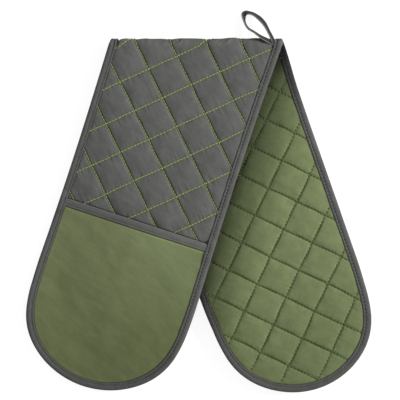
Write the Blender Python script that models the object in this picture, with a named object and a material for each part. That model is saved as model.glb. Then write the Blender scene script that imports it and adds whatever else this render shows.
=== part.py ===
"""A double oven glove: one long quilted strip, bound all round and folded flat across its middle.

The cloth is drawn flat, arm by arm: how far it lies across the strip, and how far along the arm
from the fold. The function place then lays each point where the cloth rests. The rear arm lies
on the table, green face up and pocket down. The front arm is folded over it, grey face and pocket
up, and drapes from the rear arm down to the table. Heights across the cloth are measured from its
middle surface, positive towards the grey side, which is the outside of the fold.
"""

import math

import bmesh
import bpy
from mathutils import Vector
from mathutils.geometry import delaunay_2d_cdt

# Driving sizes of the strip, in metres, with angles in radians
half_width = 0.094
arm_reach = 0.3227
fold_offset = 0.0024
fold_slant = math.radians(18.1)
front_waist_draw = 0.0024
rear_waist_draw = -0.0008
front_sweep = -0.0013
rear_sweep = 0.0102
front_width_share = 1.0125
rear_width_share = 0.9825
front_settle_run = 0.300
rear_settle_run = 0.050
end_start = 0.040
end_run = 0.150
front_end_draw = 0.0021
rear_end_draw = 0.0024

# Cloth, filling and tape
cover_cloth = 0.0006
wadding_thickness = 0.0020
quilt_puff = 0.0022
panel_cloth = 0.0006
lining_cloth = 0.0004
tape_thickness = 0.0006
layer_gap = 0.0003

# Quilting: the lattice of stitched channels
quilt_pitch = 0.0358
quilt_angle = math.radians(45)
front_pitch_shares = (0.999, 1.0215)
rear_pitch_shares = (1.013, 0.987)
front_skews = (math.radians(0.5), math.radians(2.8))
rear_skews = (math.radians(-0.2), math.radians(1.5))
front_phase_shares = (0.217, 0.812)
rear_phase_shares = (0.065, 0.333)
pillow_shape_share = 0.55
rim_rise_run = 0.009
fold_fade_run = 0.014

# Edge binding and pocket mouth binding
binding_width = 0.009
binding_nose = 0.0012
nose_rounding = 0.0016
nose_shoulder_share = 0.72
mouth_reach = 0.216
mouth_binding_width = 0.009
seam_run = 0.008

# Pockets
hand_room = 0.0070
pocket_rise_run = 0.020
pocket_ring_shares = (0.25, 0.55, 1.0)
mouth_settle_run = 0.016

# How the glove lies
rear_lift_start = 0.105
rear_lift_run = 0.100
drape_margin = 0.007
drape_run = 0.150

# Hanging loop
loop_reach = 0.033
loop_tape_width = 0.008
loop_tape_thickness = 0.0014
loop_root_inset = 0.0184
loop_root_clearance = 0.0025
loop_rest_height = 0.0004
loop_route_shares = (
    (0.115, 0.0),
    (0.018, 0.291),
    (-0.10, 0.497),
    (-0.258, 0.706),
    (-0.424, 0.848),
    (-0.621, 0.939),
    (-0.758, 0.894),
    (-0.824, 0.758),
    (-0.758, 0.497),
    (-0.567, 0.291),
    (-0.300, 0.125),
    (-0.165, 0.055),
    (-0.136, 0.0),
)
root_tilt = math.radians(50)
tip_tilt = math.radians(38)
tail_shift = 0.0020
tail_root_angle = math.radians(64)
tail_leave_angle = math.radians(48)

# How finely curved cloth is divided
edge_step = 0.018
least_step_share = 0.6
apart_share = 0.33
sample_margin = 0.0026
tip_segments = 16
smooth_angle = math.radians(50)
bend_segments = 8
cut_segments = 20
visible_quilt_steps = 4
hidden_quilt_steps = 3
plain_steps = 2
loop_steps = 3
tail_steps = 3

# The strip is folded a little off its middle
front_reach = arm_reach - fold_offset
rear_reach = arm_reach + fold_offset

# Heights through the cloth, from its middle surface
cover_inner = wadding_thickness / 2 + layer_gap
cover_groove = cover_inner + cover_cloth
crown_top = cover_groove + quilt_puff
binding_seat = cover_groove + layer_gap
tape_wrap = tape_thickness + layer_gap
pocket_stack = lining_cloth + layer_gap + panel_cloth
pocket_depth = hand_room + pocket_stack
panel_from_lining = lining_cloth + layer_gap

# The bend: the two arms' crowns meet at the fold's plane, a layer gap apart
bend_radius = crown_top + layer_gap / 2
bend_outer = bend_radius + crown_top
half_bend = bend_radius * math.pi / 2
cut_depth = half_bend + layer_gap / 2
band_depth = half_bend - layer_gap / 2
fold_height = bend_outer
hinge_offset = bend_radius * math.pi / 4
pad_inset = binding_nose + layer_gap
ring_inset = binding_width + layer_gap
crown_inset = ring_inset + layer_gap
seam_along = mouth_reach + mouth_binding_width + nose_rounding
loop_root_x = half_width / math.cos(fold_slant) - loop_root_inset
loop_root_height = fold_height + bend_radius + loop_tape_thickness


def smooth(share):
    """0 to 1 with no kink at either end."""
    share = min(max(share, 0.0), 1.0)
    return share * share * (3 - 2 * share)


class Arm:
    """One half of the strip: which way it runs across the table, and how it lies."""

    def __init__(self, name, way, reach, shape, lattice):
        self.name = name
        self.way = way
        self.up = -way
        self.reach = reach
        self.waist_draw, self.end_draw, self.sweep, self.width_share, self.settle_run = shape
        pitch_shares, skews, self.phase_shares = lattice
        self.pitches = [quilt_pitch * share for share in pitch_shares]
        turns = (quilt_angle + skews[0], skews[1] - quilt_angle)
        self.quilt_axes = [(way * math.cos(turn), math.sin(turn)) for turn in turns]


rear = Arm(
    "rear", 1, rear_reach,
    (rear_waist_draw, rear_end_draw, rear_sweep, rear_width_share, rear_settle_run),
    (rear_pitch_shares, rear_skews, rear_phase_shares),
)
front = Arm(
    "front", -1, front_reach,
    (front_waist_draw, front_end_draw, front_sweep, front_width_share, front_settle_run),
    (front_pitch_shares, front_skews, front_phase_shares),
)


def depth_of(arm, across, along):
    """Distance from the fold's line, square to it."""
    return along * math.cos(fold_slant) - arm.way * across * math.sin(fold_slant)


def along_at(arm, across, depth):
    """How far along the arm a line parallel to the fold runs, at this place across it."""
    return (depth + arm.way * across * math.sin(fold_slant)) / math.cos(fold_slant)


def rear_lift(along):
    """The rear pad rises off the table to make room for its pocket."""
    return pocket_depth * smooth((along - rear_lift_start) / rear_lift_run)


def lift(arm, x, back, along):
    if arm is rear:
        return rear_lift(along)
    rear_along = x * math.sin(fold_slant) + back * math.cos(fold_slant)
    rear_across = x * math.cos(fold_slant) - back * math.sin(fold_slant)
    foot = -(half_width + drape_margin + drape_run)
    held = smooth((rear_across - foot) / drape_run)
    return held * (rear_lift(rear_along) + 2 * bend_radius) - 2 * bend_radius


def spread(arm, along, far):
    """Width of the cloth at rest, as a share of its flat width: its waist and end are drawn in."""
    settled = 1 - (1 - arm.width_share) * smooth(far / arm.settle_run)
    waist = arm.waist_draw * math.sin(math.pi * min(far / arm.reach, 1.0))
    share = min(max((along - arm.reach + end_start) / end_run, 0.0), 1.0)
    end = arm.end_draw * math.sin(2 * math.pi * share) * smooth(2 * share)
    return settled - (waist + end) / half_width


def place(arm, across, along, height):
    """Where a point of the flat cloth lies at rest."""
    depth = depth_of(arm, across, along)
    far = max(depth - half_bend, 0.0)
    swept = arm.sweep * (far / (arm.reach + half_width)) ** 2
    laid = across * spread(arm, along, far) + swept
    x = arm.way * along * math.sin(fold_slant) + laid * math.cos(fold_slant)
    back = depth_of(arm, laid, along)
    radius = bend_radius + height
    if depth < half_bend:
        angle = depth / bend_radius
        y = radius * math.cos(angle) - bend_outer
        return Vector((x, y, fold_height + arm.up * radius * math.sin(angle)))
    z = fold_height + arm.up * radius + lift(arm, x, back, along)
    return Vector((x, -bend_outer - (back - half_bend), z))


def inset_of(arm, across, along):
    """Distance inwards from the strip's edge."""
    return half_width - math.hypot(across, max(along - arm.reach, 0.0))


def quilt_counts(arm, across, along):
    """How many pitches the point lies from each family of stitched lines."""
    return [
        (u * along + v * across) / pitch - phase
        for (u, v), pitch, phase in zip(arm.quilt_axes, arm.pitches, arm.phase_shares)
    ]


def pillow(arm, across, along):
    """0 on a stitched line, 1 at the middle of a square."""
    waves = [abs(math.sin(math.pi * count)) for count in quilt_counts(arm, across, along)]
    return (waves[0] * waves[1]) ** pillow_shape_share


def puff(arm, across, along, at_fold):
    """Height of the crown: it is drawn in at the binding, and where the fold squeezes it."""
    rim = smooth((inset_of(arm, across, along) - crown_inset) / rim_rise_run)
    clear = 1.0 if at_fold else smooth((depth_of(arm, across, along) - half_bend) / fold_fade_run)
    return quilt_puff * rim * clear * pillow(arm, across, along)


def grey_outer(arm, across, along):
    return cover_groove + puff(arm, across, along, arm is front)


def green_outer(arm, across, along):
    return -cover_groove - puff(arm, across, along, False)


def mouth_share(along):
    """1 where the pocket's layers pass through the mouth binding, 0 beyond it."""
    return 1 - smooth((along - seam_along) / mouth_settle_run)


def lining_inner(arm, across, along):
    """The pocket's inner face: on the pad at the rim, and a hand's room off it inside."""
    wrapped = tape_wrap * mouth_share(along)
    rim = binding_seat + wrapped
    inside = crown_top + hand_room - wrapped
    rise = smooth((inset_of(arm, across, along) - ring_inset) / pocket_rise_run)
    return rim + (inside - rim) * rise


def panel_inner(arm, across, along):
    return lining_inner(arm, across, along) + panel_from_lining


def binding_grey_seat(along):
    """Inner height of the edge binding on the grey side: it takes in the pocket's layers too."""
    started = smooth((along - mouth_reach + seam_run) / seam_run)
    wrapped = 2 * tape_wrap * mouth_share(along)
    return binding_seat + started * (pocket_stack + layer_gap + wrapped)


def quilt_points(arm, steps, inset, depth, least_along):
    """The lattice's crossings and its subdivisions, inside the given limits."""
    (u1, v1), (u2, v2) = arm.quilt_axes
    span = u1 * v2 - u2 * v1
    most = math.ceil((arm.reach + 2 * half_width) / quilt_pitch) * steps
    points = []
    for i in range(-most, most + 1):
        for j in range(-most, most + 1):
            first = (i / steps + arm.phase_shares[0]) * arm.pitches[0]
            second = (j / steps + arm.phase_shares[1]) * arm.pitches[1]
            along = (first * v2 - second * v1) / span
            across = (second * u1 - first * u2) / span
            if inset_of(arm, across, along) < inset or along < least_along:
                continue
            if depth_of(arm, across, along) > depth:
                points.append((across, along))
    return points


def edge_places(arm, least):
    """Places along a straight edge, up to the round end: evenly spaced, with the mouth's own."""
    mouth = (mouth_reach - seam_run, mouth_reach, seam_along, seam_along + mouth_settle_run)
    count = math.floor((arm.reach - least) / edge_step - least_step_share)
    plain = [arm.reach - edge_step * k for k in range(1, count + 1)]
    apart = [s for s in plain if min(abs(s - m) for m in mouth) > edge_step * apart_share]
    return sorted(apart + [m for m in mouth if m > least])


def run_round(arm, inset, left, right):
    """Points up the left edge, round the end and back down the right edge."""
    radius = half_width - inset
    angles = [math.pi * k / tip_segments for k in range(tip_segments + 1)]
    tip = [(-radius * math.cos(a), arm.reach + radius * math.sin(a)) for a in angles]
    return [(-radius, s) for s in left] + tip + [(radius, s) for s in reversed(right)]


def mesh_object(name, points, faces, material, pivot):
    mesh = bpy.data.meshes.new(name)
    origin = pivot["at"]
    mesh.from_pydata([tuple(p - origin) for p in points], [], faces)
    shaped = bmesh.new()
    shaped.from_mesh(mesh)
    bmesh.ops.recalc_face_normals(shaped, faces=shaped.faces)
    shaped.to_mesh(mesh)
    shaped.free()
    mesh.shade_smooth()
    mesh.set_sharp_from_angle(angle=smooth_angle)
    mesh.materials.append(material)
    piece = bpy.data.objects.new(name, mesh)
    piece.parent = pivot["empty"]
    bpy.context.scene.collection.objects.link(piece)
    return piece


def triangles(points, lines):
    """Triangles over flat points, keeping every line of the outline and the rings."""
    flat = [Vector(p) for p in points]
    out = delaunay_2d_cdt(flat, lines, [], 1, layer_gap / 1000)
    source = [origins[0] for origins in out[3]]
    return [[source[i] for i in face] for face in out[2]]


def layer(name, arm, outline, rings, sides, material, pivot):
    """A closed sheet between two faces that share one outline.

    rings are lists of indices into the outline and ring points; each side is a list of free
    points with a function that gives the height of the cloth's face."""
    shared, lines = outline
    count = len(lines)
    closed = [(i, (i + 1) % count) for i in range(count)]
    lines = closed + [pair for ring in rings for pair in zip(ring, ring[1:])]
    points = []
    faces = []
    for free, height in sides:
        start = len(points)
        flat = shared + free
        points += [place(arm, c, s, height(arm, c, s)) for c, s in flat]
        faces += [[start + i for i in face] for face in triangles(flat, lines)]
    second = len(shared) + len(sides[0][0])
    for i, j in closed:
        faces.append((i, j, second + j, second + i))
    return mesh_object(name, points, faces, material, pivot)


def pad_outline(arm):
    """Outline of the quilted layers of an arm, and the ring under the binding's inner edge."""
    outer = half_width - pad_inset
    inner = half_width - ring_inset
    left = edge_places(arm, along_at(arm, -inner, cut_depth))
    right = edge_places(arm, along_at(arm, inner, cut_depth))
    border = run_round(arm, pad_inset, left, right)
    crossings = [outer, *(inner - 2 * inner * k / cut_segments for k in range(cut_segments + 1)), -outer]
    cut = [(c, along_at(arm, c, cut_depth)) for c in crossings]
    ring = run_round(arm, ring_inset, left, right)
    shared = border + cut + ring
    first = len(border)
    ring_line = [first + len(cut) - 2, *range(first + len(cut), len(shared)), first + 1]
    return (shared, border + cut), [ring_line]


def pad_layer(name, arm, steps, faces, material, pivot):
    outline, rings = pad_outline(arm)
    limits = (ring_inset + sample_margin, cut_depth + sample_margin, -half_width)
    sides = [(quilt_points(arm, n, *limits), face) for n, face in zip(steps, faces)]
    return layer(name, arm, outline, rings, sides, material, pivot)


def level(height):
    """A face at one height all over."""
    return lambda arm, across, along: height


def pocket_crossings():
    """Insets of the rings round a pocket, and the places between them across its mouth."""
    insets = [pad_inset, ring_inset]
    insets += [ring_inset + pocket_rise_run * share for share in pocket_ring_shares]
    inner = half_width - insets[-1]
    count = math.ceil(2 * inner / edge_step)
    return insets, [inner - 2 * inner * k / count for k in range(1, count)]


def pocket_layer(name, arm, inner_face, thickness, material, pivot):
    """The pocket's panel or lining: its mouth edge, its rim in the binding, and its crown."""
    edge = mouth_reach + pad_inset
    insets, middles = pocket_crossings()
    places = [seam_along, *edge_places(arm, seam_along)]
    crossings = [half_width - inset for inset in insets] + middles
    crossings += [inset - half_width for inset in reversed(insets)]
    border = run_round(arm, pad_inset, places, places)
    mouth = [(c, edge) for c in crossings]
    shared = border + mouth
    lines = []
    seam_row = [len(border) - 1]
    seam_ends = [0]
    for number, inset in enumerate(insets[1:], start=1):
        start = len(shared)
        shared = shared + run_round(arm, inset, places, places)
        left_end = len(border) + len(mouth) - 1 - number
        right_end = len(border) + number
        lines.append([left_end, *range(start, len(shared)), right_end])
        seam_row.append(len(shared) - 1)
        seam_ends.append(start)
    start = len(shared)
    shared = shared + [(c, seam_along) for c in middles]
    seam_row += [*range(start, len(shared)), *reversed(seam_ends)]
    lines.append(seam_row)
    free = quilt_points(arm, plain_steps, insets[-1] + sample_margin, 0, seam_along + sample_margin)

    def outer_face(arm, across, along):
        return inner_face(arm, across, along) + thickness

    sides = [(free, outer_face), (free, inner_face)]
    return layer(name, arm, (shared, border + mouth), lines, sides, material, pivot)


def skin(rows, name, material, pivot):
    """A closed tube through rows of points, one ring of points for each row, capped at both ends."""
    count = len(rows[0])
    points = [p for row in rows for p in row]
    faces = []
    for r in range(len(rows) - 1):
        for k in range(count):
            following = (k + 1) % count
            here = r * count
            there = here + count
            faces.append((here + k, here + following, there + following, there + k))
    faces.append(tuple(range(count)))
    faces.append(tuple(range(len(points) - count, len(points))))
    return mesh_object(name, points, faces, material, pivot)


def channel(seat, across_seat):
    """Section of a folded tape: inset from the strip's edge, and height, round its outline."""
    outer = seat + tape_thickness
    under = across_seat + tape_thickness
    return [
        (binding_width, seat),
        (binding_width, outer),
        (nose_rounding, outer),
        (nose_rounding - binding_nose, outer * nose_shoulder_share),
        (0.0, (outer - under) / 2),
        (nose_rounding - binding_nose, -under * nose_shoulder_share),
        (nose_rounding, -under),
        (binding_width, -under),
        (binding_width, -across_seat),
        (binding_nose, -across_seat),
        (binding_nose, seat),
    ]


def arm_binding(name, arm, material, pivot):
    """The edge binding of one arm, from the fold round the end and back to the fold."""
    def places(side):
        return edge_places(arm, along_at(arm, side * half_width, cut_depth))

    def straight(side, along):
        section = channel(binding_grey_seat(along), binding_seat)
        return [place(arm, side * (half_width - inset), along, m) for inset, m in section]

    def cut(side):
        section = channel(binding_seat, binding_seat)
        crossings = [(side * (half_width - inset), m) for inset, m in section]
        return [place(arm, c, along_at(arm, c, cut_depth), m) for c, m in crossings]

    def turned(angle):
        section = channel(binding_grey_seat(arm.reach), binding_seat)
        radii = [(half_width - inset, m) for inset, m in section]
        return [
            place(arm, -r * math.cos(angle), arm.reach + r * math.sin(angle), m)
            for r, m in radii
        ]

    rows = [cut(-1)]
    rows += [straight(-1, along) for along in places(-1)]
    rows += [turned(math.pi * k / tip_segments) for k in range(tip_segments + 1)]
    rows += [straight(1, along) for along in reversed(places(1))]
    rows.append(cut(1))
    return skin(rows, name, material, pivot)


def mouth_binding(name, arm, material, pivot):
    """The tape folded over the pocket's mouth edge; its ends run in under the edge binding."""
    insets, middles = pocket_crossings()
    crossings = [half_width - inset for inset in insets] + middles
    crossings += [inset - half_width for inset in reversed(insets)]
    rows = []
    for across in crossings:
        low = lining_inner(arm, across, mouth_reach) - layer_gap
        high = low + pocket_stack + 2 * layer_gap
        section = [
            (mouth_binding_width, high),
            (mouth_binding_width, high + tape_thickness),
            (nose_rounding, high + tape_thickness),
            (0.0, (low + high) / 2),
            (nose_rounding, low - tape_thickness),
            (mouth_binding_width, low - tape_thickness),
            (mouth_binding_width, low),
            (binding_nose, low),
            (binding_nose, high),
        ]
        rows.append([place(arm, across, mouth_reach + run, m) for run, m in section])
    return skin(rows, name, material, pivot)


def bend_depths():
    """Rows of the fold's band, from the rear arm round to the front arm."""
    return [band_depth * (2 * k / bend_segments - 1) for k in range(bend_segments + 1)]


def on_bend(depth, across, height):
    arm = rear if depth < 0 else front
    return place(arm, across, along_at(arm, across, abs(depth)), height)


def band_grey_outer(depth, across):
    """The band's crowns follow the front arm's lattice, and flatten underneath."""
    along = along_at(front, across, depth)
    fade = 1 - smooth(-depth / band_depth)
    return cover_groove + fade * puff(front, across, along, True)


def band_layer(name, outer, inner, material, pivot):
    """One layer of the cloth round the bend."""
    width = half_width - pad_inset
    ring = half_width - ring_inset
    crossings = [-width, *(2 * ring * k / cut_segments - ring for k in range(cut_segments + 1)), width]
    depths = bend_depths()
    points = []
    faces = []
    for face in (outer, inner):
        points += [on_bend(d, c, face(d, c)) for d in depths for c in crossings]
    many = len(crossings)
    second = many * len(depths)
    for r in range(len(depths) - 1):
        for k in range(many - 1):
            here = r * many + k
            quad = (here, here + 1, here + many + 1, here + many)
            faces.append(quad)
            faces.append(tuple(second + i for i in quad))
    last = second - many
    rim = [*range(many), *(r * many + many - 1 for r in range(1, len(depths)))]
    rim += [*range(second - 2, last - 1, -1), *(r * many for r in range(len(depths) - 2, 0, -1))]
    for i, j in zip(rim, rim[1:] + rim[:1]):
        faces.append((i, j, second + j, second + i))
    return mesh_object(name, points, faces, material, pivot)


def band_binding(name, side, material, pivot):
    """The short run of edge binding that goes round the fold with the cloth."""
    section = channel(binding_seat, binding_seat)
    rows = [
        [on_bend(depth, side * (half_width - inset), m) for inset, m in section]
        for depth in bend_depths()
    ]
    return skin(rows, name, material, pivot)


def curve_through(points, steps):
    """A smooth run through the points, with each span divided into steps."""
    ends = [2 * points[0] - points[1], *points, 2 * points[-1] - points[-2]]
    run = []
    for a, b, c, d in zip(ends, ends[1:], ends[2:], ends[3:]):
        for k in range(steps):
            t = k / steps
            pull = (c - a) * t + (2 * a - 5 * b + 4 * c - d) * t * t
            run.append(b + (pull + (3 * b - a - 3 * c + d) * t * t * t) / 2)
    return [*run, points[-1]]


def headings(centres, first, last):
    """The run's direction at each of its points, with its two ends given."""
    between = [after - before for before, after in zip(centres, centres[2:])]
    return [first, *between, last]


def tape_rows(centres, ways, tilts):
    """Sections of the loop's folded tape along a run, each leaning from upright by its tilt."""
    rows = []
    for centre, ahead, tilt in zip(centres, ways, tilts):
        half = tilted(ahead, tilt)
        thick = ahead.cross(half).normalized() * loop_tape_thickness / 2
        rounded = half * (1 - loop_tape_thickness / loop_tape_width)
        rows.append([
            centre - half,
            centre - rounded - thick,
            centre + rounded - thick,
            centre + half,
            centre + rounded + thick,
            centre - rounded + thick,
        ])
    return rows


def tilted(ahead, tilt):
    """Half-width of a tape whose face leans from upright by tilt, square to its run."""
    flat = Vector((ahead.y, -ahead.x, 0)).normalized()
    upright = ahead.cross(flat).normalized()
    upright *= 1 if upright.z > 0 else -1
    return (upright * math.cos(tilt) + flat * math.sin(tilt)) * loop_tape_width / 2


def loop_centres():
    """The loop's middle line, from its right leg round the tip to its left leg."""
    start_y = loop_root_clearance
    points = []
    for across, up in loop_route_shares:
        points.append(Vector((loop_root_x + across * loop_reach, start_y + up * loop_reach, 0)))
    return curve_through(points, loop_steps)


def loop_height(y):
    """The tape leaves the fold level, and droops towards the table at its tip."""
    tip = loop_tape_width / 2 * math.cos(tip_tilt) + loop_tape_thickness / 2 + loop_rest_height
    share = (y - loop_root_clearance) / loop_reach
    return loop_root_height + (tip - loop_root_height) * 2 * smooth(share / 2)


def hanging_loop(name, material, pivot):
    """The free loop of folded tape, from its right leg round the tip to its left leg."""
    centres = [
        Vector((point.x, point.y, loop_height(point.y))) for point in loop_centres()
    ]
    last = len(centres) - 1
    shares = [math.sin(math.pi * k / last) for k in range(last + 1)]
    tilts = [root_tilt + (tip_tilt - root_tilt) * share for share in shares]
    ways = headings(centres, Vector((0, 1, 0)), Vector((0, -1, 0)))
    return skin(tape_rows(centres, ways, tilts), name, material, pivot)


def loop_tail(name, side, material, pivot):
    """A sewn end of the loop: flat on the fold's top, then turned on edge to meet its leg."""
    seat = bend_outer + layer_gap + loop_tape_thickness / 2
    root_x = loop_root_x + tail_shift + side * (loop_tape_width + layer_gap) / 2
    leg = loop_centres()[0 if side > 0 else -1]
    points = [
        Vector((root_x, seat * math.cos(a) - bend_outer, fold_height + seat * math.sin(a)))
        for a in (tail_root_angle, tail_leave_angle)
    ]
    points.append(Vector((leg.x, leg.y - layer_gap, loop_root_height)))
    centres = curve_through(points, tail_steps)
    last = len(centres) - 1
    turns = [smooth(2 * k / last - 1) for k in range(last + 1)]
    tilts = [side * (math.pi / 2 + (root_tilt - math.pi / 2) * turn) for turn in turns]
    ways = headings(centres, centres[1] - centres[0], Vector((0, 1, 0)))
    return skin(tape_rows(centres, ways, tilts), name, material, pivot)


def palette():
    """Materials: name, colour, roughness."""
    made = {}
    swatches = (
        ("grey_cotton", (0.115, 0.115, 0.108), 0.92),
        ("green_cotton", (0.165, 0.200, 0.100), 0.92),
        ("pocket_cotton", (0.130, 0.155, 0.070), 0.90),
        ("lining_cotton", (0.100, 0.100, 0.095), 0.95),
        ("white_wadding", (0.780, 0.780, 0.760), 1.00),
        ("grey_tape", (0.105, 0.105, 0.105), 0.85),
    )
    for name, colour, roughness in swatches:
        material = bpy.data.materials.new(name)
        material.use_nodes = True
        shader = material.node_tree.nodes["Principled BSDF"]
        shader.inputs["Base Color"].default_value = (*colour, 1.0)
        shader.inputs["Roughness"].default_value = roughness
        shader.inputs["Metallic"].default_value = 0.0
        made[name] = material
    return made


def pivot_at(name, at, parent):
    empty = bpy.data.objects.new(name, None)
    bpy.context.scene.collection.objects.link(empty)
    if parent:
        empty.parent = parent["empty"]
        empty.location = at - parent["at"]
    return {"empty": empty, "at": at}


def arm_pieces(arm, colours, pivot):
    """Every piece of one arm."""
    green_steps = visible_quilt_steps if arm is rear else hidden_quilt_steps
    grey_steps = visible_quilt_steps if arm is front else hidden_quilt_steps

    half_wadding = wadding_thickness / 2
    return [
        pad_layer(
            f"{arm.name}_green_cover", arm, (green_steps, plain_steps),
            (green_outer, level(-cover_inner)), colours["green_cotton"], pivot,
        ),
        pad_layer(
            f"{arm.name}_wadding", arm, (plain_steps, plain_steps),
            (level(-half_wadding), level(half_wadding)), colours["white_wadding"], pivot,
        ),
        pad_layer(
            f"{arm.name}_grey_cover", arm, (grey_steps, plain_steps),
            (grey_outer, level(cover_inner)), colours["grey_cotton"], pivot,
        ),
        pocket_layer(
            f"{arm.name}_pocket_lining", arm, lining_inner, lining_cloth,
            colours["lining_cotton"], pivot,
        ),
        pocket_layer(
            f"{arm.name}_pocket_panel", arm, panel_inner, panel_cloth,
            colours["pocket_cotton"], pivot,
        ),
        mouth_binding(f"{arm.name}_pocket_mouth_binding", arm, colours["grey_tape"], pivot),
        arm_binding(f"{arm.name}_binding", arm, colours["grey_tape"], pivot),
    ]


def fold_pieces(colours, pivot):
    """Every piece of the fold between the two arms."""
    half_wadding = wadding_thickness / 2

    def flat(height):
        return lambda depth, across: height

    return [
        band_layer(
            "fold_green_cover", flat(-cover_groove), flat(-cover_inner),
            colours["green_cotton"], pivot,
        ),
        band_layer(
            "fold_wadding", flat(-half_wadding), flat(half_wadding),
            colours["white_wadding"], pivot,
        ),
        band_layer(
            "fold_grey_cover", band_grey_outer, flat(cover_inner),
            colours["grey_cotton"], pivot,
        ),
        band_binding("fold_binding_left", -1, colours["grey_tape"], pivot),
        band_binding("fold_binding_right", 1, colours["grey_tape"], pivot),
        loop_tail("loop_tail_left", -1, colours["grey_tape"], pivot),
        loop_tail("loop_tail_right", 1, colours["grey_tape"], pivot),
    ]


def centre_on_floor(pieces, root):
    """Moves the whole glove so that the middle of its box's underside is at the origin."""
    corners = []
    for piece, pivot in pieces:
        corners += [v.co + pivot["at"] for v in piece.data.vertices]
    low = [min(c[i] for c in corners) for i in range(3)]
    high = [max(c[i] for c in corners) for i in range(3)]
    root["empty"].location = (-(low[0] + high[0]) / 2, -(low[1] + high[1]) / 2, -low[2])


def build():
    for item in list(bpy.data.objects):
        bpy.data.objects.remove(item, do_unlink=True)
    colours = palette()
    bend_y = hinge_offset - bend_outer
    rear_pivot = pivot_at("rear_arm", Vector((0, 0, 0)), None)
    fold_pivot = pivot_at("centre_fold", Vector((0, bend_y, fold_height - hinge_offset)), rear_pivot)
    front_pivot = pivot_at("front_arm", Vector((0, bend_y, fold_height + hinge_offset)), fold_pivot)
    loop_at = Vector((loop_root_x, loop_root_clearance - layer_gap / 2, loop_root_height))
    loop_pivot = pivot_at("loop_root", loop_at, fold_pivot)
    pieces = [(piece, rear_pivot) for piece in arm_pieces(rear, colours, rear_pivot)]
    pieces += [(piece, fold_pivot) for piece in fold_pieces(colours, fold_pivot)]
    pieces += [(piece, front_pivot) for piece in arm_pieces(front, colours, front_pivot)]
    pieces.append((hanging_loop("hanging_loop", colours["grey_tape"], loop_pivot), loop_pivot))
    centre_on_floor(pieces, rear_pivot)


build()
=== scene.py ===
import math

import bmesh
import bpy
import numpy as np
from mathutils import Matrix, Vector
from mathutils.geometry import delaunay_2d_cdt


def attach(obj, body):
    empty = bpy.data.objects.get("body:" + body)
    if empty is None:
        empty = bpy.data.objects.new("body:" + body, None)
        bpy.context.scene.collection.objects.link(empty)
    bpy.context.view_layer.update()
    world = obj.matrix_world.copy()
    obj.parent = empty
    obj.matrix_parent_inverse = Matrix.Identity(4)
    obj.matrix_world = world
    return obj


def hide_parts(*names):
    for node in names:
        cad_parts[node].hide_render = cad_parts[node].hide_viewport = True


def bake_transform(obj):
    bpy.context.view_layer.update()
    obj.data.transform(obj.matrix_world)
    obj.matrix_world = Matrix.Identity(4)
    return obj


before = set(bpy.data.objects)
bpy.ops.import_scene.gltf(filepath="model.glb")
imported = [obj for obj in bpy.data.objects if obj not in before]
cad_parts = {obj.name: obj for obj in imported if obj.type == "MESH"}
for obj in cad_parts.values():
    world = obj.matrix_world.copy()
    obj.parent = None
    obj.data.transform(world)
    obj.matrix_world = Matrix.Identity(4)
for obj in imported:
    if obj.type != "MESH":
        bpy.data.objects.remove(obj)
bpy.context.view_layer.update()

# Sizes of the strip and its cloth, in metres, with angles in radians
HALF_WIDTH = 0.094
REACH = {"front": 0.3203, "rear": 0.3251}
SLANT = math.radians(18.1)
WAIST_DRAW = {"front": 0.0024, "rear": -0.0008}
END_DRAW = {"front": 0.0021, "rear": 0.0024}
END_START = 0.040
END_RUN = 0.150
SWEEP = {"front": -0.0013, "rear": 0.0102}
WIDTH_SHARE = {"front": 1.0125, "rear": 0.9825}
SETTLE_RUN = {"front": 0.300, "rear": 0.050}
GROOVE = 0.0019
PUFF = 0.0022
CROWN = GROOVE + PUFF
PANEL_CLOTH = 0.0006
LINING_CLOTH = 0.0004
TAPE = 0.0006
GAP = 0.0003

# The quilting's lattice: the pitch, turn and phase of each arm's two families of lines
PITCH = 0.0358
PITCH_SHARES = {"front": (0.999, 1.0215), "rear": (1.013, 0.987)}
LINE_DEGREES = {"front": (45.5, -42.2), "rear": (44.8, -43.5)}
PHASES = {"front": (0.217, 0.812), "rear": (0.065, 0.333)}
WANDER = 0.013
WANDER_RUN = 0.017

# The squares between the lines, with 1 for the grey face and -1 for the green one
PILLOW_POWERS = {1: 0.44, -1: 0.27}
GROOVE_FLOORS = {1: 0.045, -1: 0.070}
CROWN_SHARE = 1.08
SQUARE_SIZE = 0.031
SQUARE_SWELL = 0.08
SLOW_SWELL = 0.14
SWELL_RUN = 0.015
PULL = 0.00072
PULL_SIZE = 0.0055
PULL_FADE = 0.0090
PULL_START = 0.0020
RESTING_SHARE = 0.97
FINE_CUTS = (
    0, 0.021, 0.036, 0.058, 0.09, 0.14, 0.21, 0.30, 0.40,
    0.50, 0.60, 0.70, 0.79, 0.86, 0.91, 0.942, 0.964, 0.979,
)
PLAIN_CUTS = (0, 0.022, 0.05, 0.10, 0.19, 0.33, 0.5, 0.67, 0.81, 0.90, 0.95, 0.978)
RIM_RUN = 0.022
RIM_POWER = 0.46
RIM_RISE = 0.034
RIM_RINGS = (0.0090, 0.0096, 0.0100, 0.0106, 0.0114, 0.0126, 0.0144, 0.0168)
RING_SPACE = 0.0020
RING_MARGIN = 0.00025
PRESSED_BY_POCKET = 0.35
MIDDLE_GAP = 0.00004

# The outside of the fold
FOLD_WIDTH = 0.009
FOLD_CROWN = 0.65
FOLD_FILL = 0.66
FOLD_RIM = 0.9
FOLD_RIM_RUN = 0.003
FOLD_TAPE = 0.0021
FOLD_FADE = 0.014

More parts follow.
